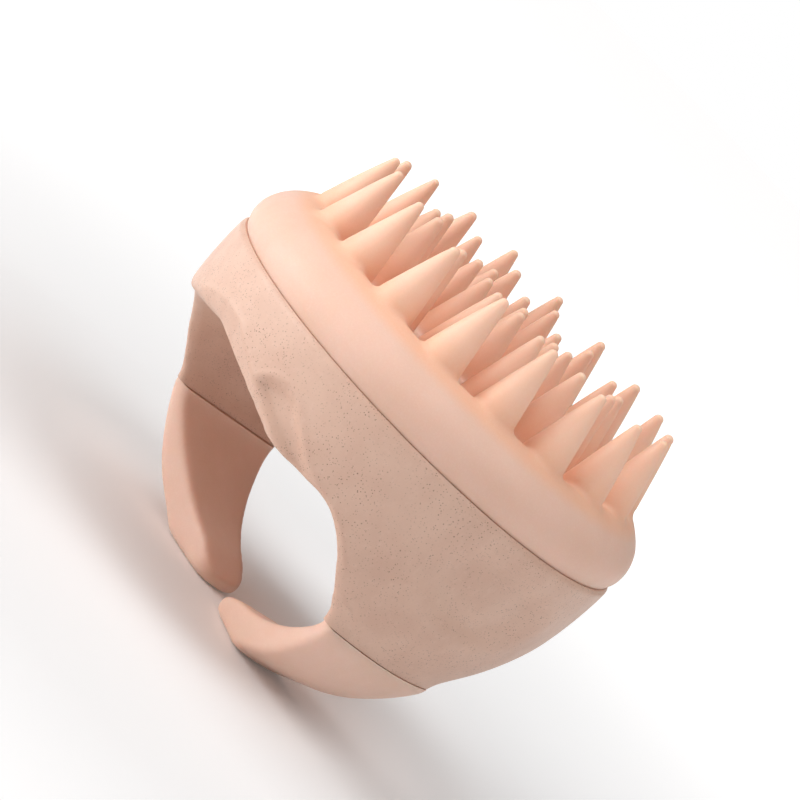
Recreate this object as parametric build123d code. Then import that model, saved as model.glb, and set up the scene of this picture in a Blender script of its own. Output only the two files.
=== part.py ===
from build123d import *
import os
from math import hypot, radians, sin, sqrt

# Scalp massager brush: a round silicone bristle pad on a cup-shaped hand grip.
# The grip carries two curved arms that nearly meet, so two or three fingers pass through.
# Frame: Z runs along the bristles, Y along the finger tunnel, X from arm to arm.
# The origin is the lowest point of the arms, on the axis of the round pad.  Millimetres.

# ---- overall sizes ----
seam_z = 49.0            # height of the joint line between pad and body
body_radius = 42.9       # widest radius of the body, just under the joint line
body_depth = 50.0        # depth of the body's outer form below the joint line
roundness = 2.3          # exponent of the superellipse that shapes the outer form
wall = 2.6               # moulded wall of the body
seam_edge_round = 0.5    # edges of the groove where pad and body meet
grip_proud = 1.0         # how far the soft grips stand out from the hard arms
foot_radius = 14.5       # the flat foot under the two grips
foot_blend = 1.22        # the form leaves the foot within this multiple of its radius

# ---- finger tunnel ----
tunnel_half_width = 32.6
tunnel_roof_drop = 11.5  # roof below the joint line, on the centre line
tunnel_roof_radius = 98.0
tunnel_upper_corner = 6.5
tunnel_lower_corner = 12.0
tunnel_floor_radius = 43.2
tunnel_floor_centre = 1.5  # centre of the floor arc, below the joint line
through = 120.0          # long enough to run right through the object

# ---- arms and grips ----
split_drop = 30.5        # joint line of each arm, below the pad joint line
split_gap = 0.3          # open line between the hard arm and its soft grip
arm_edge = [             # edge of an arm seen along X: half width, drop below the joint line
    (13.8, 30.5), (17.6, 25.2), (20.7, 21.8), (24.4, 18.1), (28.5, 15.8), (34.0, 15.1),
]
arm_edge_start = (0.55, 1.0)   # direction in which the edge leaves the joint line of the arm
tip_x = 2.6              # half of the gap between the two arm tips
tip_half_width = 5.2
grip_widening = 10.0
grip_widening_power = 1.7
grip_widening_run = 35.0
grip_stations = (12.0, 21.0, 30.0, 40.0)
tip_bevel_start_x = 8.5  # the inner face of a tip falls away from here
tip_bevel_drop = 2.3
tip_corner = 4.2         # rounding of the tip in plan
grip_edge_round = 1.1

# ---- flexible core inside each grip ----
core_cover = 2.0         # silicone between the tunnel and the core
core_thickness = 1.4
core_half_width = 3.6
core_end_x = 8.0
core_middle_x = 24.0     # third point of the strip's arc
core_hole_radius = 1.4
core_hole_angles = (50, 65)    # degrees, seen from the centre of the floor arc

# ---- silicone pad ----
pad_rim = [              # outside of the rim: radius, rise above the joint line
    (42.0, 0.0), (43.0, 3.2), (42.1, 6.2), (39.6, 8.9), (35.6, 10.9),
]
pad_rim_start = (0.6, 1.0)     # direction in which the rim leaves the joint line
pad_floor_rise = 8.4
pad_floor_radius = 29.0
pad_skin = 3.0
spigot_outer = 40.1
spigot_inner = 37.6
spigot_depth = 5.0

# ---- pad carrier plate ----
carrier_radius = 37.4
carrier_thickness = 2.6
carrier_rim = 1.6
key_count = 8
key_circle = 25.0
key_radius = 2.0
key_head_radius = 3.0
key_head_height = 1.0
rib_thickness = 1.6
rib_height = 3.0
hook_count = 4
hook_width = 8.0
hook_inner = 33.6
hook_outer = 35.7
hook_barb = 1.4
ledge_inner = 36.0
ledge_thickness = 1.8
ledge_overlap = 0.4      # how far the ledge runs into the wall
ledge_clearance = 0.2
rib_turns = (22.5, 82.5, 142.5)

# ---- bristles: radius of the ring, number, height of the tips above the joint line ----
bristle_rings = {
    "outer_bristle_ring": [(32.9, 18, 24.7)],
    "middle_bristle_ring": [(22.4, 14, 23.7)],
    "inner_bristle_ring": [(11.4, 8, 22.7), (0.0, 1, 22.3)],
}
first_bristle_angle = {18: -110.0, 14: -107.5, 8: -86.0, 1: 0.0}
bristle_root = 1.0       # how far a bristle reaches into the pad's floor
bristle_base_radius = 4.0
bristle_tip_radius = 0.8
bristle_lean = 3.5       # degrees, tips towards the middle of the pad


def outer_form(grow=0.0, flat=0.0):
    """Solid of revolution of the outer form, grown outwards, with a flat foot of a given radius."""
    wide = body_radius + grow
    deep = body_depth + grow
    bottom = 0.0 if flat else seam_z - deep
    steps = 9
    curve = []
    for i in range(steps + 1):
        drop = deep * sin(radians(90 * i / steps))
        radius = wide * max(0.0, 1 - (drop / deep) ** roundness) ** (1 / roundness)
        if radius > flat * foot_blend:
            curve.append((radius, seam_z - drop))
    curve.append((flat, bottom))
    rest = [(0, bottom), (0, seam_z), (wide, seam_z)]
    if flat:
        rest.insert(0, (flat, bottom))
    side = Spline(*curve, tangents=[(0, -1), (-1, 0)])
    return revolve(Plane.XZ * make_face([side, Polyline(*rest)]), Axis.Z)


def roof_height(x):
    """Height of the tunnel's roof at a distance from the centre line."""
    return seam_z - tunnel_roof_drop - tunnel_roof_radius + sqrt(tunnel_roof_radius**2 - x**2)


def floor_height(x, grow=0.0):
    """Height of the tunnel's floor, or of an arc that lies outside it by a distance."""
    return seam_z - tunnel_floor_centre - sqrt((tunnel_floor_radius + grow) ** 2 - x**2)


def along_tunnel(face, half_length):
    """Prism of a face in the XZ plane, as far to each side of the centre plane."""
    return extrude(Plane.XZ * face, half_length, both=True)


def finger_tunnel():
    """The space for the fingers, as a solid that runs right through."""
    edge = tunnel_half_width
    roof = ThreePointArc((-edge, roof_height(edge)), (0, roof_height(0)), (edge, roof_height(edge)))
    floor = ThreePointArc(
        (edge, floor_height(edge)), (0, floor_height(0)), (-edge, floor_height(edge))
    )
    right = Line((edge, roof_height(edge)), (edge, floor_height(edge)))
    left = Line((-edge, floor_height(edge)), (-edge, roof_height(edge)))
    face = make_face([roof, right, floor, left])
    corners = face.vertices().sort_by(Axis.Y)
    face = fillet(corners[:2], tunnel_lower_corner)
    corners = [v for v in face.vertices() if v.Y > roof_height(edge) - 0.01]
    return along_tunnel(fillet(corners, tunnel_upper_corner), through / 2)


def body_cavity():
    """The hollow of the cup, down to a wall above the tunnel's roof."""
    edge = body_radius
    floor = ThreePointArc(
        (-edge, roof_height(edge) + wall), (0, roof_height(0) + wall), (edge, roof_height(edge) + wall)
    )
    rise = Polyline(
        (edge, roof_height(edge) + wall), (edge, seam_z), (-edge, seam_z), (-edge, roof_height(edge) + wall)
    )
    return outer_form(-wall) & along_tunnel(make_face([floor, rise]), through / 2)


def ring(outer, inner, bottom, top):
    """Plain ring round the Z axis between two heights."""
    tube = Cylinder(outer, top - bottom) - Cylinder(inner, top - bottom)
    return Pos(0, 0, (bottom + top) / 2) * tube


def body_shell():
    """Hard cup with the tunnel's roof and the two arm roots, in one moulding."""
    shell = outer_form()
    rim_edge = shell.edges().filter_by(GeomType.CIRCLE).sort_by(Axis.Z)[-1]
    shell = fillet(rim_edge, seam_edge_round)
    shell -= body_cavity()
    ledge_top = seam_z - spigot_depth
    shell += ring(body_radius - wall + ledge_overlap, ledge_inner, ledge_top - ledge_thickness, ledge_top)
    shell -= finger_tunnel()
    split_z = seam_z - split_drop
    shell -= Pos(0, 0, split_z - through / 2) * Box(through, through, through)
    for side in (-1, 1):
        edge = Spline(
            *[(side * half_width, seam_z - drop) for half_width, drop in arm_edge],
            tangents=[(side * arm_edge_start[0], arm_edge_start[1]), (side, 0)],
        )
        rest = Polyline(
            edge @ 1, (side * through / 2, (edge @ 1).Y),
            (side * through / 2, split_z), edge @ 0,
        )
        shell -= extrude(Plane.YZ * make_face([edge, rest]), through / 2, both=True)
    return shell


def grip_half_width(x):
    """Half width of a grip in plan, from its narrow tip to the joint with the arm."""
    run = max(0.0, (x - tip_x) / grip_widening_run)
    return tip_half_width + grip_widening * run**grip_widening_power


def grip_plan():
    """Plan outline of the right grip, extruded to a tall prism."""
    stations = [tip_x, *grip_stations]
    far = Spline(*[(x, grip_half_width(x)) for x in stations])
    near = Spline(*[(x, -grip_half_width(x)) for x in stations])
    end = Line(far @ 1, near @ 1)
    tip = Line(near @ 0, far @ 0)
    plan = make_face([far, near, end, tip])
    return extrude(fillet(plan.vertices().sort_by(Axis.X)[:2], tip_corner), seam_z, both=True)


def grip_form():
    """Outer shape of the right grip, without its core, with a flat foot."""
    grip = outer_form(grip_proud, foot_radius) & grip_plan()
    grip -= finger_tunnel()
    split_z = seam_z - split_drop - split_gap
    grip -= Pos(0, 0, split_z + through / 2) * Box(through, through, through)
    tip_floor = floor_height(tip_x)
    bevel = Polyline(
        (tip_bevel_start_x, floor_height(tip_bevel_start_x)),
        (tip_x - 1, tip_floor - tip_bevel_drop),
        (tip_x - 1, tip_floor + 2),
        (tip_bevel_start_x, tip_floor + 2),
        close=True,
    )
    grip -= along_tunnel(make_face(bevel), through / 2)
    grip = grip.solids().sort_by(Axis.X)[-1]
    skin = grip.faces().sort_by(SortBy.AREA)[-1]
    foot = grip.faces().sort_by(Axis.Z)[0]
    rounded = []
    for edge in skin.edges() + foot.edges():
        middle = edge @ 0.5
        on_foot_circle = abs(hypot(middle.X, middle.Y) - foot_radius) < 0.01
        if middle.Z < split_z - grip_edge_round and not on_foot_circle:
            rounded.append(edge)
    return grip.fillet(grip_edge_round, rounded)


def grip_core():
    """Flexible strip inside the right grip, with holes that key it to the silicone."""
    top_z = seam_z - split_drop - split_gap
    inner = core_cover
    outer = core_cover + core_thickness
    centre_z = seam_z - tunnel_floor_centre

    def at_height(grow, z):
        return sqrt((tunnel_floor_radius + grow) ** 2 - (centre_z - z) ** 2)

    inside = ThreePointArc(
        (at_height(inner, top_z), top_z), (core_middle_x, floor_height(core_middle_x, inner)),
        (core_end_x, floor_height(core_end_x, inner)),
    )
    outside = ThreePointArc(
        (at_height(outer, top_z), top_z), (core_middle_x, floor_height(core_middle_x, outer)),
        (core_end_x, floor_height(core_end_x, outer)),
    )
    strip = make_face([inside, outside, Line(inside @ 0, outside @ 0), Line(inside @ 1, outside @ 1)])
    core = along_tunnel(strip, core_half_width)
    for angle in core_hole_angles:
        hole = Rot(0, angle, 0) * Cylinder(core_hole_radius, through)
        core -= Pos(0, 0, centre_z) * hole
    return core.solids().sort_by(Axis.X)[-1]


def pad_profile():
    """Half section of the pad: raised rim, thin floor and the spigot that drops into the body."""
    outside = [(radius, seam_z + rise) for radius, rise in pad_rim]
    rim = Spline(*outside, tangents=[pad_rim_start, (-1, 0)])
    inner_slope = Spline(
        outside[-1], (pad_floor_radius, seam_z + pad_floor_rise), tangents=[(-1, 0), (-1, 0)]
    )
    under = seam_z + pad_floor_rise - pad_skin
    rest = Polyline(
        (pad_floor_radius, seam_z + pad_floor_rise), (0, seam_z + pad_floor_rise), (0, under),
        (spigot_inner, under), (spigot_inner, seam_z - spigot_depth),
        (spigot_outer, seam_z - spigot_depth), (spigot_outer, seam_z), outside[0],
    )
    return make_face([rim, inner_slope, rest])


def around(count, radius, first=0.0):
    """Places on a circle about the Z axis, each turned to face outwards."""
    return [
        Rot(0, 0, first + 360 * i / count) * Pos(radius, 0, 0) for i in range(count)
    ]


def bristle_pad():
    """Silicone rim and floor, with keys that lock it to the carrier plate."""
    pad = revolve(Plane.XZ * pad_profile(), Axis.Z)
    under = seam_z + pad_floor_rise - pad_skin
    for place in around(key_count, key_circle):
        stem_z = under - carrier_thickness / 2
        pad += place * Pos(0, 0, stem_z) * Cylinder(key_radius, carrier_thickness)
        head_z = under - carrier_thickness - key_head_height / 2
        pad += place * Pos(0, 0, head_z) * Cylinder(key_head_radius, key_head_height)
    return pad


def pad_carrier_plate():
    """Stiff plate under the silicone floor, with ribs, a rim and four snap hooks."""
    top = seam_z + pad_floor_rise - pad_skin
    under = top - carrier_thickness
    foot = seam_z - spigot_depth
    plate = Pos(0, 0, (top + under) / 2) * Cylinder(carrier_radius, carrier_thickness)
    plate += ring(carrier_radius, carrier_radius - carrier_rim, foot, top)
    for turn in rib_turns:
        rib = Box(2 * carrier_radius - carrier_rim, rib_thickness, rib_height)
        plate += Rot(0, 0, turn) * Pos(0, 0, under - rib_height / 2) * rib
    catch_top = foot - ledge_thickness - ledge_clearance
    catch_bottom = catch_top - hook_barb
    for place in around(hook_count, 0, first=45):
        leg = Box(hook_outer - hook_inner, hook_width, under - catch_bottom)
        plate += place * Pos((hook_outer + hook_inner) / 2, 0, (under + catch_bottom) / 2) * leg
        barb = Box(hook_barb, hook_width, catch_top - catch_bottom)
        plate += place * Pos(hook_outer + hook_barb / 2, 0, (catch_top + catch_bottom) / 2) * barb
    for place in around(key_count, key_circle):
        plate -= place * Pos(0, 0, (top + under) / 2) * Cylinder(key_radius, carrier_thickness + 2)
        head_z = under - key_head_height / 2
        plate -= place * Pos(0, 0, head_z) * Cylinder(key_head_radius, key_head_height)
    return plate


def bristle(radius, tip_rise):
    """One tapered bristle with a round tip, leaning towards the middle of the pad."""
    foot_z = seam_z + pad_floor_rise - bristle_root
    height = seam_z + tip_rise - foot_z
    cone_height = height - bristle_tip_radius
    cone = Pos(0, 0, cone_height / 2) * Cone(bristle_base_radius, bristle_tip_radius, cone_height)
    cone += Pos(0, 0, cone_height) * Sphere(bristle_tip_radius)
    lean = bristle_lean if radius > 0 else 0.0
    foot_radius = radius + height * sin(radians(lean))
    return Pos(foot_radius, 0, foot_z) * Rot(0, -lean, 0) * cone


def bristle_ring(rings, pad):
    """Rings of bristles that stand on the surface of the pad."""
    group = []
    for radius, count, tip_rise in rings:
        for turn in range(count):
            angle = first_bristle_angle[count] + 360 * turn / count
            group.append((Rot(0, 0, angle) * bristle(radius, tip_rise)) - pad)
    return Compound([max(b.solids(), key=lambda s: s.volume) for b in group])


def write(name, shape):
    """Writes one sub-part to its own STEP file."""
    shape.label = name
    export_step(shape, os.path.join("parts", name + ".step"))


os.makedirs("parts", exist_ok=True)

write("body_shell", body_shell())
write("pad_carrier_plate", pad_carrier_plate())

pad_solid = bristle_pad()
write("bristle_pad", pad_solid)
for ring_name, ring_list in bristle_rings.items():
    write(ring_name, bristle_ring(ring_list, pad_solid))

right_core = grip_core()
right_sleeve = grip_form() - right_core
write("right_grip_core", right_core)
write("right_grip_sleeve", right_sleeve)
write("left_grip_core", mirror(right_core, Plane.YZ))
write("left_grip_sleeve", mirror(right_sleeve, Plane.YZ))
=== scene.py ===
"""Scalp massager brush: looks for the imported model.  Lengths in the mesh code are millimetres."""
import math
import random

import bmesh
import bpy
import numpy as np
from mathutils import Matrix, Vector, geometry, noise
from mathutils.kdtree import KDTree


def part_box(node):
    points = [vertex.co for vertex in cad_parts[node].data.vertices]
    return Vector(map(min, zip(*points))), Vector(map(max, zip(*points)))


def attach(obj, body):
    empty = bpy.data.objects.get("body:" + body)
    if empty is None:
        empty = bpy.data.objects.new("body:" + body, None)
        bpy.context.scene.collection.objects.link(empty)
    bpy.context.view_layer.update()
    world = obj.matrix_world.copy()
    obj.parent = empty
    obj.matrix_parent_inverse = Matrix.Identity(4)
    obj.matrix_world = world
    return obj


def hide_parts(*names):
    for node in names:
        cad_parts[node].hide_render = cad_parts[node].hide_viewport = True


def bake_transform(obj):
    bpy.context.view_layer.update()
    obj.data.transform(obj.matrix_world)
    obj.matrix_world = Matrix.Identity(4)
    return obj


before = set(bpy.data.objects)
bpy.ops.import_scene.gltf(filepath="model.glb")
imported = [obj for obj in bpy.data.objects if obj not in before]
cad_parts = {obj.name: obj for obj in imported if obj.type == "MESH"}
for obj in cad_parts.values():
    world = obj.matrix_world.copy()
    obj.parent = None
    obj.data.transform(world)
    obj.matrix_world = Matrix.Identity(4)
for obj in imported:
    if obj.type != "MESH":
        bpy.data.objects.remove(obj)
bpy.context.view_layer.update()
MM = 0.001

body_low, body_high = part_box("body_shell")
SEAM = body_high.z / MM          # height of the joint line between pad and body
SPLIT = body_low.z / MM          # height of the joint between hard arms and grips
GRIP_TOP = SPLIT - 0.3           # top face of the grips in the CAD

# ------------------------------------------------------------------ camera

camera_data = bpy.data.cameras.new("camera")
camera = bpy.data.objects.new("camera", camera_data)
bpy.context.collection.objects.link(camera)
back = Vector((0.70985501, -0.68544449, 0.16208555)).normalized()
level_right = Vector((0, 0, 1)).cross(back).normalized()
level_up = back.cross(level_right)
roll = math.radians(45.882)
cam_right = level_right * math.cos(roll) + level_up * math.sin(roll)
cam_up = level_up * math.cos(roll) - level_right * math.sin(roll)
pose = Matrix((cam_right, cam_up, back)).transposed().to_4x4()
pose.translation = (0.34142518, -0.33457174, 0.12415889)
camera.matrix_world = pose
camera_data.lens = 131.92
camera_data.clip_end = 20
bpy.context.scene.camera = camera

# ------------------------------------------------------------------ small tools


def new_object(name, vertices, faces):
    """Smooth shaded mesh object from points in millimetres."""
    mesh = bpy.data.meshes.new(name)
    mesh.from_pydata((np.asarray(vertices, float) * MM).tolist(), [], faces)
    mesh.validate()
    obj = bpy.data.objects.new(name, mesh)
    bpy.context.collection.objects.link(obj)
    mesh.polygons.foreach_set("use_smooth", [True] * len(mesh.polygons))
    return obj


def points_of(obj):
    co = np.empty(len(obj.data.vertices) * 3, np.float32)
    obj.data.vertices.foreach_get("co", co)
    return co.reshape(-1, 3).astype(float) / MM


def set_points(obj, points):
    obj.data.vertices.foreach_set("co", (points * MM).astype(np.float32).ravel())
    obj.data.update()


def smooth_step(edge0, edge1, x):
    t = np.clip((np.asarray(x, float) - edge0) / (edge1 - edge0), 0, 1)
    return t * t * (3 - 2 * t)


def smooth_line(points, count):
    """Evenly indexed Catmull-Rom points through a list of points."""
    p = np.array(points, float)
    p = np.vstack([2 * p[0] - p[1], p, 2 * p[-1] - p[-2]])
    out = []
    spans = len(p) - 3
    for k in range(count):
        s = spans * k / (count - 1)
        i = min(int(s), spans - 1)
        t = s - i
        a, b, c, d = p[i:i + 4]
        out.append(0.5 * (2 * b + (c - a) * t + (2 * a - 5 * b + 4 * c - d) * t**2
                          + (3 * b - a - 3 * c + d) * t**3))
    return np.array(out)


def uneven(points, size, depth, seed):
    """Soft random unevenness of hand-poured or moulded surfaces, one value per point."""
    shift = Vector((seed * 3.1, seed * 1.7, seed * 5.3))
    return depth * np.array([noise.noise(Vector(p) / size + shift) for p in points])


# ------------------------------------------------------------------ silicone pad with bristles

FLOOR = 8.4                      # rise of the pad's floor above the joint line
FLOOR_RADIUS = 29.0
CREST_RADIUS = 35.6
CREST = 10.9
PLAN_RADIUS = 38.4               # inside this the pad is meshed in plan
RIM = [(CREST_RADIUS, CREST), (37.4, 10.35), (39.6, 8.9), (41.3, 7.2), (42.35, 5.4),
       (42.85, 3.6), (42.8, 1.9), (42.35, 0.7), (42.05, 0.12)]
# bristle rings: radius, count, rise of the tips, angle of the first bristle
RINGS = [(32.9, 18, 24.7, -110.0), (22.4, 14, 23.7, -107.5), (11.4, 8, 22.7, -86.0),
         (0.0, 1, 22.3, 0.0)]
BRISTLE_LEAN = math.tan(math.radians(3.6))
rim_line = smooth_line(RIM, 60)


def base_rise(x, y):
    """Rise of the pad's upper surface, without bristles, above the joint line."""
    r = np.hypot(x, y)
    slope = FLOOR + (CREST - FLOOR) * smooth_step(FLOOR_RADIUS, CREST_RADIUS, r)
    outside = np.interp(r, rim_line[:, 0], rim_line[:, 1])
    return np.where(r <= CREST_RADIUS, slope, outside)


def bristle_rings():
    """Places of the bristles: x, y, rise of the tip, root radius, flare of the foot."""
    places = []
    for radius, count, tip, first in RINGS:
        for i in range(count):
            a = math.radians(first + 360 * i / count)
            root = 3.85 if radius > 15 else 3.5
            flare = 1.25 if radius > 30 else 0.95
            places.append((radius * math.cos(a), radius * math.sin(a), tip, root, flare))
    return places


def build_pad():
    rng = random.Random(7)
    segments = 30                # points round one bristle
    places = bristle_rings()
    plan, edges = [], []

    def loop(cx, cy, radius, count):
        start = len(plan)
        for k in range(count):
            a = 2 * math.pi * k / count
            plan.append((cx + radius * math.cos(a), cy + radius * math.sin(a)))
            edges.append((start + k, start + (k + 1) % count))
        return list(range(start, start + count))

    outer_count = 216
    outer_loop = loop(0, 0, PLAN_RADIUS, outer_count)
    foot_loops = [loop(x, y, root + flare, segments) for x, y, _, root, flare in places]
    reach = np.array([(x, y, root + flare + 0.45) for x, y, _, root, flare in places])
    for k in range(1, 46):
        radius = PLAN_RADIUS * k / 46
        count = max(6, int(2 * math.pi * radius / 0.86))
        for i in range(count):
            a = 2 * math.pi * (i + 0.5 * (k % 2)) / count
            x, y = radius * math.cos(a), radius * math.sin(a)
            if radius < PLAN_RADIUS - 0.3 and np.all(
                    np.hypot(reach[:, 0] - x, reach[:, 1] - y) > reach[:, 2]):
                plan.append((x, y))
    coords, _, faces, origin, _, _ = geometry.delaunay_2d_cdt(
        [Vector(p) for p in plan], edges, [], 0, 1e-5)
    where = {}
    for new, olds in enumerate(origin):
        for old in olds:
            where[old] = new
    flat = np.array([(c.x, c.y) for c in coords])
    kept = []
    for f in faces:
        m = flat[list(f)].mean(0)
        if np.all(np.hypot(reach[:, 0] - m[0], reach[:, 1] - m[1]) > reach[:, 2] - 0.46):
            kept.append(tuple(f))
    verts = [(x, y, float(z)) for (x, y), z in zip(flat, base_rise(flat[:, 0], flat[:, 1]))]
    polys = list(kept)

    def stitch(lower, upper):
        n = len(lower)
        for k in range(n):
            polys.append((lower[k], lower[(k + 1) % n], upper[(k + 1) % n], upper[k]))

    angles = 2 * np.pi * np.arange(segments) / segments
    unit = np.stack([np.cos(angles), np.sin(angles)], 1)
    for (x, y, tip, root, flare), foot in zip(places, foot_loops):
        previous = [where[i] for i in foot]
        centre = np.array([x, y])
        inward = -centre / max(1e-6, np.hypot(x, y)) if np.hypot(x, y) > 1 else np.zeros(2)
        bend_turn = rng.uniform(0, 2 * math.pi)
        bend = np.array([math.cos(bend_turn), math.sin(bend_turn)]) * rng.uniform(0.05, 0.5)
        tip = tip + rng.uniform(-0.35, -0.08)
        tip_radius = 0.85 + rng.uniform(-0.05, 0.1)
        oval = rng.uniform(-0.04, 0.04)
        rows = []
        for u in (0.2, 0.4, 0.6, 0.8, 1.0):
            r = root + flare * (1 - math.sin(u * math.pi / 2))
            xy = centre + r * unit
            lift = flare * (1 - math.cos(u * math.pi / 2))
            rows.append((xy, base_rise(xy[:, 0], xy[:, 1]) + lift))
        xy0, z0 = rows[-1]
        top = tip - tip_radius
        length = top - float(z0.mean())
        for j in range(1, 15):
            s = j / 14
            r = tip_radius + (root - tip_radius) * (1 - s) ** 0.93
            shift = inward * BRISTLE_LEAN * s * length + bend * s**2
            stretch = np.stack([unit[:, 0] * (1 + oval), unit[:, 1] * (1 - oval)], 1)
            rows.append((centre + shift + r * stretch, z0 + (top - z0) * s))
        end = centre + inward * BRISTLE_LEAN * length + bend
        for j in range(1, 5):
            a = math.pi / 2 * j / 5
            rows.append((end + tip_radius * math.cos(a) * unit,
                         np.full(segments, top + tip_radius * math.sin(a))))
        for xy, z in rows:
            start = len(verts)
            verts.extend((a, b, float(c)) for (a, b), c in zip(xy, z))
            current = list(range(start, start + segments))
            stitch(previous, current)
            previous = current
        verts.append((end[0], end[1], top + tip_radius))
        for k in range(segments):
            polys.append((previous[k], previous[(k + 1) % segments], len(verts) - 1))

    # the rim, the spigot that drops into the body, and the underside
    start = int(np.argmin(np.abs(rim_line[:, 0] - PLAN_RADIUS)))
    outline = [tuple(p) for p in rim_line[start + 1:]]
    outline += [(41.9, -0.02), (41.0, 0.0), (40.1, 0.0), (40.1, -2.5), (40.1, -5.0), (38.8, -5.0),
                (37.6, -5.0), (37.6, 0.0), (37.6, 5.4), (30.0, 5.4), (15.0, 5.4), (2.0, 5.4)]
    previous = [where[i] for i in outer_loop]
    turns = 2 * np.pi * np.arange(outer_count) / outer_count
    for r, z in outline:
        begin = len(verts)
        verts.extend((r * math.cos(t), r * math.sin(t), z) for t in turns)
        current = list(range(begin, begin + outer_count))
        stitch(current, previous)
        previous = current
    polys.append(tuple(previous))

    points = np.array(verts)
    # soft unevenness of the moulding, none where it meets the body
    free = smooth_step(0.5, 4.0, points[:, 2])
    points[:, 2] += free * uneven(points, 9.0, 0.22, 1)
    swell = free * uneven(points, 13.0, 0.003, 2)
    points[:, 0] *= 1 + swell
    points[:, 1] *= 1 + swell
    points[:, 2] += SEAM
    obj = new_object("silicone_pad", points, polys)
    bm = bmesh.new()
    bm.from_mesh(obj.data)
    bmesh.ops.recalc_face_normals(bm, faces=bm.faces)
    bm.to_mesh(obj.data)
    bm.free()
    return obj


# ------------------------------------------------------------------ moulded pieces from their CAD shape


OVERLONG = 3.5                   # added at a joint face, and cut off again after the rounding
LIP_ROUNDS = 34                  # extra smoothing along the lips of the tunnel's mouths


def moulded_copy(node, name, voxel, rounds, joints, shape=None, lips=None):
    """Fine mesh of a CAD node with its edges rounded, overlong at its joint faces.

    joints lists (height of the face in the CAD, height of the cut, 1 for a top face or -1).
    Edges within about 3 mm of the points in lips get a larger rounding.
    """
    obj = bpy.data.objects.new(name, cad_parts[node].data.copy())
    bpy.context.collection.objects.link(obj)
    obj.data.materials.clear()
    bm = bmesh.new()
    bm.from_mesh(obj.data)
    bmesh.ops.remove_doubles(bm, verts=bm.verts, dist=2e-6)
    for height, _, up in joints:
        for v in bm.verts:
            if abs(v.co.z / MM - height) < 0.02:
                v.co.z += up * OVERLONG * MM
    bm.to_mesh(obj.data)
    bm.free()
    remesh = obj.modifiers.new("fine", "REMESH")
    remesh.mode = "VOXEL"
    remesh.voxel_size = voxel * MM
    depsgraph = bpy.context.evaluated_depsgraph_get()
    fine = bpy.data.meshes.new_from_object(obj.evaluated_get(depsgraph))
    obj.modifiers.clear()
    obj.data = fine
    fine.name = name
    points = points_of(obj)
    if shape:
        points = shape(points)
    ends = np.empty(len(fine.edges) * 2, np.int32)
    fine.edges.foreach_get("vertices", ends)
    ends = ends.reshape(-1, 2)
    count = np.maximum(np.bincount(ends.ravel(), minlength=len(points)), 1)
    amount = np.full(len(points), 0.5)
    for step in range(rounds + (LIP_ROUNDS if lips is not None else 0)):
        if step == rounds:
            tree = KDTree(len(lips))
            for i, lip in enumerate(lips):
                tree.insert(lip, i)
            tree.balance()
            gap = np.array([tree.find(point)[2] for point in points])
            amount = 0.5 * (1 - smooth_step(2.2, 4.0, gap))
        for axis in range(3):
            value = points[:, axis]
            total = (np.bincount(ends[:, 0], value[ends[:, 1]], len(points))
                     + np.bincount(ends[:, 1], value[ends[:, 0]], len(points)))
            points[:, axis] = value + amount * (total / count - value)
    set_points(obj, points)
    return obj


def cut_joints(obj, joints):
    """Cut an overlong mesh off flat at its joint faces, with crisp edges."""
    bm = bmesh.new()
    bm.from_mesh(obj.data)
    for f in bm.faces:
        f.smooth = True
    for _, height, up in joints:
        cut = bmesh.ops.bisect_plane(
            bm, geom=bm.verts[:] + bm.edges[:] + bm.faces[:], dist=1e-7,
            plane_co=(0, 0, height * MM), plane_no=(0, 0, up), clear_outer=True)
        rim = [e for e in cut["geom_cut"] if isinstance(e, bmesh.types.BMEdge)]
        cap = bmesh.ops.triangle_fill(bm, use_beauty=True, edges=rim)
        for e in rim:
            e.smooth = False
        for f in cap["geom"]:
            if isinstance(f, bmesh.types.BMFace):
                f.smooth = False
    bmesh.ops.recalc_face_normals(bm, faces=bm.faces)
    bm.to_mesh(obj.data)
    bm.free()


def normals_of(obj):
    n = np.empty(len(obj.data.vertices) * 3, np.float32)
    obj.data.vertices.foreach_get("normal", n)
    return n.reshape(-1, 3).astype(float)


TUNNEL_DROP = 11.5               # the tunnel roof's drop below the pad joint in the middle
ROOF_ARC = 98.0                  # radius of the roof across the tunnel
BODY_WIDE, BODY_DEEP, BODY_POWER = 42.9, 50, 2.3     # the body's outline: radius by drop
THUMB_DROP, THUMB_DEPTH = 10.5, 1.9
# Lines on the outside of the body round one mouth of the finger tunnel, as (across, drop below
# the pad joint); the other mouth is the same turned half round.
MOUTH_EDGE = [(-34, 18.0), (-20, 13.2), (-5, 10.9), (2.5, 12.0), (10, 13.8), (15.8, 15.4),
              (18.5, 16.5), (22, 16.8), (25.8, 16.3), (29, 16.4), (32, 17.4)]
LOW_RIDGE = [(-14, 10.4), (-8.6, 8.4), (-4.3, 7.6), (1.4, 7.7), (6.6, 9.6), (10.6, 11.3),
             (15.7, 13.5), (20.5, 15.6), (24, 17.0)]
HIGH_RIDGE = [(8.5, 15.0), (11.1, 10.4), (13.7, 8.4), (16.5, 7.5), (18.9, 8.0), (22.2, 10.5),
              (25.2, 13.1), (27.9, 14.6), (31, 15.5), (33.6, 17.6), (35, 21.0), (35.3, 26.0)]


def drop_on(line, across):
    return np.interp(across, [p[0] for p in line], [p[1] for p in line])


def body_radius(drop):
    return BODY_WIDE * (1 - (drop / BODY_DEEP) ** BODY_POWER) ** (1 / BODY_POWER)


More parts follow.
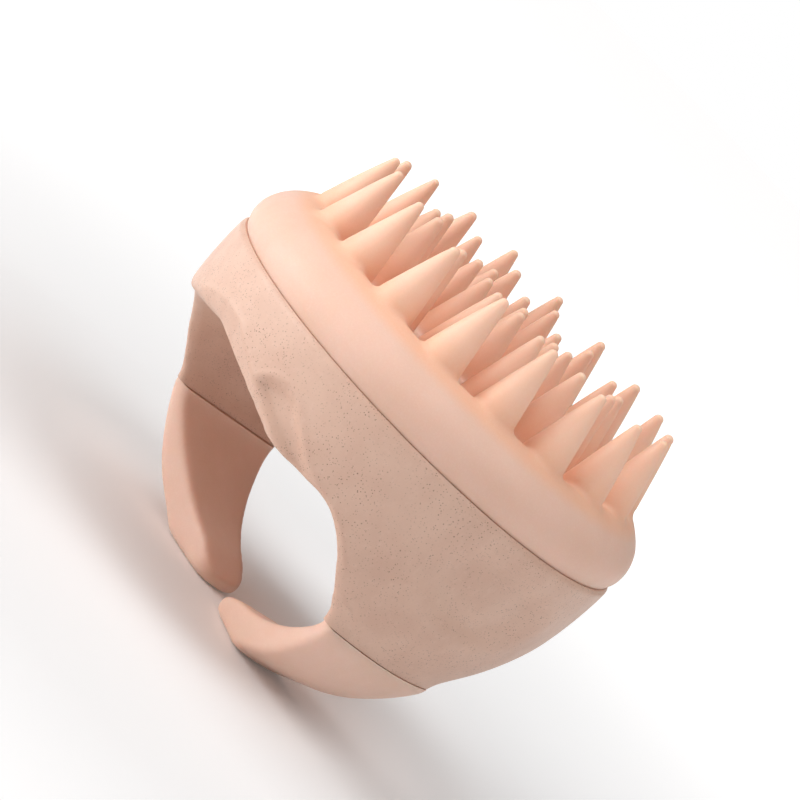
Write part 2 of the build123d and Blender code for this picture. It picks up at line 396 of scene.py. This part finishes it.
def shape_mouths(p):
    """Bring the roof's edge at each mouth to its swept line, and widen the arms a little."""
    x = np.linspace(-34, 34, 120)
    roof = TUNNEL_DROP + ROOF_ARC - np.sqrt(ROOF_ARC**2 - x**2)
    wide = body_radius(roof)
    edge = np.stack([x, np.sqrt(np.maximum(wide**2 - x**2, 0)), SEAM - roof], 1)
    lower = drop_on(MOUTH_EDGE, x) - roof
    lower *= smooth_step(-14, -6, x) * (1 - smooth_step(28, 33, x))
    for side in (-1, 1):
        near = np.flatnonzero((p[:, 1] * side > 18) & (SEAM - p[:, 2] > 3) & (SEAM - p[:, 2] < 26))
        q = p[near] * (-side, side, 1)
        gap = np.linalg.norm(q[:, None, :] - edge[None, :, :], axis=2)
        nearest = gap.argmin(1)
        t = np.minimum(gap.min(1) / 7.5, 1)
        p[near, 2] -= lower[nearest] * (1 - t * t) ** 2
    drop = SEAM - p[:, 2]
    arms = smooth_step(25, 30, np.abs(p[:, 0])) * smooth_step(14.5, 18.5, drop)
    arms *= p[:, 0] * p[:, 1] < 0
    p[:, 1] *= 1 + 0.085 * arms * (1 - smooth_step(25, 31, drop))
    return p


def mouth_lips():
    """Points along the edges of both mouths, where the lip is rounded generously."""
    points = []
    for across in np.linspace(-30, 31, 90):
        drop = drop_on(MOUTH_EDGE, across)
        wide = body_radius(drop)
        points.append((across, math.sqrt(wide**2 - across**2), SEAM - drop))
    for across, out, drop in smooth_line(
            [(31.2, 27.0, 17.1), (33.0, 24.6, 19.2), (33.9, 21.8, 22.2), (34.1, 18.4, 26.0),
             (33.9, 15.6, 28.6), (33.6, 14.0, 30.5), (33.4, 13.4, 33.0)], 40):
        points.append((across, out, SEAM - drop))
        points.append((-across, out, SEAM - drop))
    points = np.array(points)
    return np.vstack([points, points * (-1, -1, 1)])


def build_body():
    joints = ((SPLIT, SPLIT - 0.08, -1), (SEAM, SEAM, 1))
    obj = moulded_copy("body_shell", "moulded_body", 0.5, 20, joints, shape_mouths, mouth_lips())
    p = points_of(obj)
    n = normals_of(obj)
    r = np.hypot(p[:, 0], p[:, 1])
    drop = SEAM - p[:, 2]
    facing = (n[:, 0] * p[:, 0] + n[:, 1] * p[:, 1]) / np.maximum(r, 1e-6)
    outer = smooth_step(0.1, 0.45, facing)
    outer *= smooth_step(33.0, 35.0, r + 0.12 * np.maximum(0, drop - 12))
    away = np.zeros(len(p))
    # shallow thumb rests on the two flanks
    for side in (-1, 1):
        v = (drop - THUMB_DROP) / np.where(drop < THUMB_DROP, 8.4, 10.5)
        d = np.hypot(p[:, 1] / 17.0, v)
        away += np.where(p[:, 0] * side > 0, THUMB_DEPTH * (1 - smooth_step(0.45, 1.0, d)), 0)
    # two scooped facets over each mouth of the finger tunnel, with a ridge between them
    for side in (-1, 1):
        across = p[:, 0] * -side
        on = (p[:, 1] * side > 0) & (across > -16) & (across < 36)
        low = drop - drop_on(LOW_RIDGE, across)
        high = drop - drop_on(HIGH_RIDGE, across)
        reach = np.maximum(drop_on(MOUTH_EDGE, across) - drop_on(LOW_RIDGE, across), 0.8)
        first = 0.36 * reach * np.clip(low / reach, 0, 1.2) * smooth_step(-15, -8, across)
        second = 1.25 * smooth_step(0.0, 2.4, high) * (1 - np.exp(-(low / 1.3) ** 2))
        second *= smooth_step(8.5, 10.5, across) * (1 - smooth_step(25, 30, across))
        beads = 0.24 * np.exp(-(low / 0.45) ** 2) * (1 - smooth_step(20, 24, across))
        beads += 0.24 * np.exp(-(high / 0.45) ** 2) * smooth_step(10, 12, across)
        scoops = np.where(across < 22, first, 0) + np.where(low < 0, second, 0)
        away += np.where(on, scoops - beads, 0)
    away += 0.45 * np.clip(1 - drop / 0.5, 0, 1)
    p[:, 0] -= n[:, 0] * away * outer
    p[:, 1] -= n[:, 1] * away * outer
    set_points(obj, p)
    cut_joints(obj, joints)
    return obj


def build_grip(node, name):
    joints = ((GRIP_TOP, SPLIT - 0.2, 1),)
    obj = moulded_copy(node, name, 0.42, 22, joints)
    p = points_of(obj)
    p[:, 2] = np.maximum(p[:, 2], 0.001)
    set_points(obj, p)
    cut_joints(obj, joints)
    return obj


# ------------------------------------------------------------------ materials


class Nodes:
    """Short notation for building a node material."""

    def __init__(self, name):
        self.material = bpy.data.materials.new(name)
        self.material.use_nodes = True
        self.tree = self.material.node_tree
        self.shader = self.tree.nodes["Principled BSDF"]
        self.coordinates = self.tree.nodes.new("ShaderNodeTexCoord").outputs["Object"]

    def node(self, kind, inputs=None, **settings):
        made = self.tree.nodes.new(kind)
        for key, value in settings.items():
            setattr(made, key, value)
        for key, value in (inputs or {}).items():
            if isinstance(value, bpy.types.NodeSocket):
                self.tree.links.new(value, made.inputs[key])
            else:
                made.inputs[key].default_value = value
        return made

    def noise(self, per_mm, detail=2.0, rough=0.5):
        made = self.node("ShaderNodeTexNoise", {
            "Vector": self.coordinates, "Scale": per_mm / MM, "Detail": detail,
            "Roughness": rough})
        return made.outputs["Fac"]

    def remap(self, value, low, high, to_low=0.0, to_high=1.0):
        made = self.node("ShaderNodeMapRange", {
            "Value": value, "From Min": low, "From Max": high, "To Min": to_low, "To Max": to_high})
        return made.outputs["Result"]

    def mix(self, factor, a, b):
        made = self.tree.nodes.new("ShaderNodeMix")
        made.data_type = "RGBA"
        for socket, value in ((made.inputs[0], factor), (made.inputs[6], a), (made.inputs[7], b)):
            if isinstance(value, bpy.types.NodeSocket):
                self.tree.links.new(value, socket)
            else:
                socket.default_value = value
        return made.outputs[2]

    def math(self, operation, a, b=0.0):
        made = self.tree.nodes.new("ShaderNodeMath")
        made.operation = operation
        for socket, value in zip(made.inputs, (a, b)):
            if isinstance(value, bpy.types.NodeSocket):
                self.tree.links.new(value, socket)
            else:
                socket.default_value = value
        return made.outputs[0]

    def bump(self, height, distance, strength=1.0, normal=None):
        inputs = {"Height": height, "Distance": distance * MM, "Strength": strength}
        if normal is not None:
            inputs["Normal"] = normal
        return self.node("ShaderNodeBump", inputs).outputs["Normal"]

    def use(self, **sockets):
        for key, value in sockets.items():
            socket = self.shader.inputs[key.replace("_", " ")]
            if isinstance(value, bpy.types.NodeSocket):
                self.tree.links.new(value, socket)
            else:
                socket.default_value = value
        return self.material


def rgb(r, g, b):
    """Linear colour from display values 0..255."""
    def linear(v):
        v /= 255
        return v / 12.92 if v <= 0.04045 else ((v + 0.055) / 1.055) ** 2.4
    return (linear(r), linear(g), linear(b), 1.0)


def silicone(name, pale, deep, root_glow_colour=None):
    """Matte soft silicone: slow colour drift, faint powdery grain, light that enters the surface.

    Given a colour for the foot of the bristles, painted light goes on the bristles: lighter and warmer
    above the floor for light glowing through them, that deeper colour at their foot for glow and shade
    between them.
    """
    m = Nodes(name)
    drift = m.remap(m.noise(0.09, 3.0), 0.35, 0.65)
    colour = m.mix(drift, pale, deep)
    if root_glow_colour:
        height = m.node("ShaderNodeSeparateXYZ", {"Vector": m.coordinates}).outputs["Z"]
        # painted light: above the pad's floor the bristles are painted lighter and warmer, for light
        # glowing through them
        bristle = m.remap(height, (SEAM + 9.4) * MM, (SEAM + 12.0) * MM)
        colour = m.mix(bristle, colour, rgb(245, 200, 174))
        # painted glow and shade: a deeper colour at the foot of the bristles, between them, fading out
        # upwards
        root = m.math("MULTIPLY",
                      m.remap(height, (SEAM + 8.6) * MM, (SEAM + 10.0) * MM),
                      m.remap(height, (SEAM + 16.0) * MM, (SEAM + 11.0) * MM))
        colour = m.mix(m.math("MULTIPLY", root, 0.8), colour, root_glow_colour)
    fine = m.noise(3.2, 4.0, 0.6)
    colour = m.mix(m.remap(fine, 0.45, 0.75, 0.0, 0.10), colour, rgb(255, 236, 226))
    rough = m.remap(m.noise(0.35, 4.0, 0.6), 0.3, 0.7, 0.42, 0.60)
    normal = m.bump(m.noise(0.25, 2.0), 0.10, 0.5)
    normal = m.bump(fine, 0.018, 0.6, normal)
    return m.use(Base_Color=colour, Roughness=rough, Normal=normal, Subsurface_Weight=0.32,
                 Subsurface_Radius=(1.0, 0.42, 0.26), Subsurface_Scale=2.6 * MM,
                 Specular_IOR_Level=0.42, IOR=1.43, Sheen_Weight=0.06, Sheen_Roughness=0.4)


def straw_plastic(name):
    """Wheat-straw filled plastic: satin moulded skin with fine dark fibre specks and soft clouding."""
    m = Nodes(name)
    cloud = m.remap(m.noise(0.13, 4.0, 0.55), 0.35, 0.66)
    colour = m.mix(cloud, rgb(220, 184, 164), rgb(213, 175, 155))
    pale = m.remap(m.noise(0.9, 3.0, 0.6), 0.55, 0.75, 0.0, 0.25)
    colour = m.mix(pale, colour, rgb(232, 200, 185))
    specks = None
    for per_mm, size, share in ((3.0, 0.32, 0.40), (1.8, 0.24, 0.34), (0.95, 0.14, 0.22)):
        cells = m.node("ShaderNodeTexVoronoi", {"Vector": m.coordinates, "Scale": per_mm / MM,
                                                "Randomness": 1.0})
        pick = m.node("ShaderNodeSeparateColor", {"Color": cells.outputs["Color"]})
        near = m.remap(cells.outputs["Distance"], size, size * 0.55)
        chosen = m.math("LESS_THAN", pick.outputs[0], share)
        spot = m.math("MULTIPLY", m.math("MULTIPLY", near, chosen),
                      m.remap(pick.outputs[1], 0.0, 1.0, 0.25, 0.85))
        specks = spot if specks is None else m.math("MAXIMUM", specks, spot)
    patchy = m.remap(m.noise(0.08, 3.0), 0.38, 0.58, 0.30, 1.0)
    colour = m.mix(m.math("MULTIPLY", specks, patchy), colour, rgb(116, 80, 66))
    rough = m.remap(m.noise(0.5, 4.0, 0.6), 0.3, 0.7, 0.36, 0.52)
    normal = m.bump(m.noise(0.12, 3.0), 0.16, 0.5)
    normal = m.bump(m.noise(5.0, 3.0, 0.6), 0.012, 0.5, normal)
    normal = m.bump(specks, -0.02, 0.5, normal)
    return m.use(Base_Color=colour, Roughness=rough, Normal=normal, Subsurface_Weight=0.12,
                 Subsurface_Radius=(1.0, 0.5, 0.35), Subsurface_Scale=1.4 * MM,
                 Specular_IOR_Level=0.45, IOR=1.47)


def inner_plastic(name, light, dark):
    """Plain moulded plastic of the hidden pieces, with flow marks and a fine matt texture."""
    m = Nodes(name)
    flow = m.remap(m.noise(0.2, 4.0), 0.35, 0.65)
    rough = m.remap(m.noise(1.2, 3.0), 0.3, 0.7, 0.4, 0.6)
    return m.use(Base_Color=m.mix(flow, light, dark), Roughness=rough,
                 Normal=m.bump(m.noise(4.0, 3.0), 0.015, 0.5), Specular_IOR_Level=0.4)


def pale_floor(name):
    """White studio floor that glows by emission, faintly near the object and strongly away from it:
    painted light.
    """
    m = Nodes(name)
    drift = m.remap(m.noise(0.004, 3.0), 0.3, 0.7)
    colour = m.mix(drift, rgb(250, 249, 249), rgb(247, 246, 246))
    distance = m.node("ShaderNodeVectorMath", {0: m.coordinates}, operation="LENGTH").outputs["Value"]
    # painted light: the floor's emission grows with the distance from the floor's origin under the
    # object
    glow = m.remap(distance, 0.09, 0.5, 0.05, 0.85)
    return m.use(Base_Color=colour, Roughness=0.7, Specular_IOR_Level=0.2,
                 Emission_Color=(1.0, 0.99, 0.985, 1.0), Emission_Strength=glow)


# ------------------------------------------------------------------ the pieces

pad = build_pad()
# the third colour is painted glow and shade at the foot of the bristles
pad.data.materials.append(silicone(
    "bristle_silicone", rgb(232, 192, 173), rgb(229, 188, 167), rgb(238, 182, 150)))
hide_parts("bristle_pad", "outer_bristle_ring", "middle_bristle_ring", "inner_bristle_ring")
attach(pad, "root")

body = build_body()
body.data.materials.append(straw_plastic("wheat_straw_plastic"))
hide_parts("body_shell")
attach(body, "root")

grip_look = silicone("grip_silicone", rgb(234, 197, 179), rgb(229, 191, 171))
for side in ("left", "right"):
    grip = build_grip(side + "_grip_sleeve", side + "_soft_grip")
    grip.data.materials.append(grip_look)
    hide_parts(side + "_grip_sleeve")
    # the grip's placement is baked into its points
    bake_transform(grip)

carrier_look = inner_plastic("carrier_plastic", rgb(232, 226, 220), rgb(224, 217, 210))
core_look = inner_plastic("core_plastic", rgb(230, 205, 190), rgb(221, 194, 178))
for node, look in (("pad_carrier_plate", carrier_look), ("left_grip_core", core_look),
                   ("right_grip_core", core_look)):
    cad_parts[node].data.materials.clear()
    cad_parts[node].data.materials.append(look)

# ------------------------------------------------------------------ floor and light

reach = 4000.0
corners = [(-reach, -reach, 0), (reach, -reach, 0), (reach, reach, 0), (-reach, reach, 0)]
floor = new_object("floor", corners, [(0, 1, 2, 3)])
floor.data.materials.append(pale_floor("floor_paint"))

world = bpy.data.worlds.new("studio")
bpy.context.scene.world = world
world.use_nodes = True
sky = world.node_tree
# white behind the object, but only a little light from all round
seen = sky.nodes.new("ShaderNodeLightPath").outputs["Is Camera Ray"]
strength = sky.nodes.new("ShaderNodeMapRange")
sky.links.new(seen, strength.inputs["Value"])
strength.inputs["To Min"].default_value = 0.16
strength.inputs["To Max"].default_value = 1.0
sky.nodes["Background"].inputs["Color"].default_value = (1.0, 1.0, 1.0, 1.0)
sky.links.new(strength.outputs["Result"], sky.nodes["Background"].inputs["Strength"])


LIGHT_DISTANCE = 0.9             # metres from the middle of the object
LIGHT_WIDTH = 0.6
LIGHTS_AIM = Vector((0, 0, 0.04))


def soft_light(name, direction, power):
    """Square soft box that looks at the middle of the object from a direction."""
    data = bpy.data.lights.new(name, "AREA")
    data.shape = "SQUARE"
    data.size = LIGHT_WIDTH
    data.energy = power
    light = bpy.data.objects.new(name, data)
    bpy.context.collection.objects.link(light)
    aim = Vector(direction).normalized()
    light.location = LIGHTS_AIM + aim * LIGHT_DISTANCE
    light.rotation_euler = aim.to_track_quat("Z", "Y").to_euler()


# directions seen from the camera: (right, up, towards it, power)
for name, right, up, near, power in (
        ("left_box", -0.68, 0.72, 0.10, 5.2), ("top_box", -0.35, 0.85, 0.40, 2.6),
        ("right_top_box", 0.30, 0.90, 0.20, 2.7), ("right_fill", 0.80, 0.30, 0.40, 3.4)):
    soft_light(name, cam_right * right + cam_up * up + back * near, power)

bpy.context.scene.view_settings.view_transform = "Standard"
bpy.context.scene.view_settings.look = "None"

# ------------------------------------------------------------------ final update

bpy.context.view_layer.update()
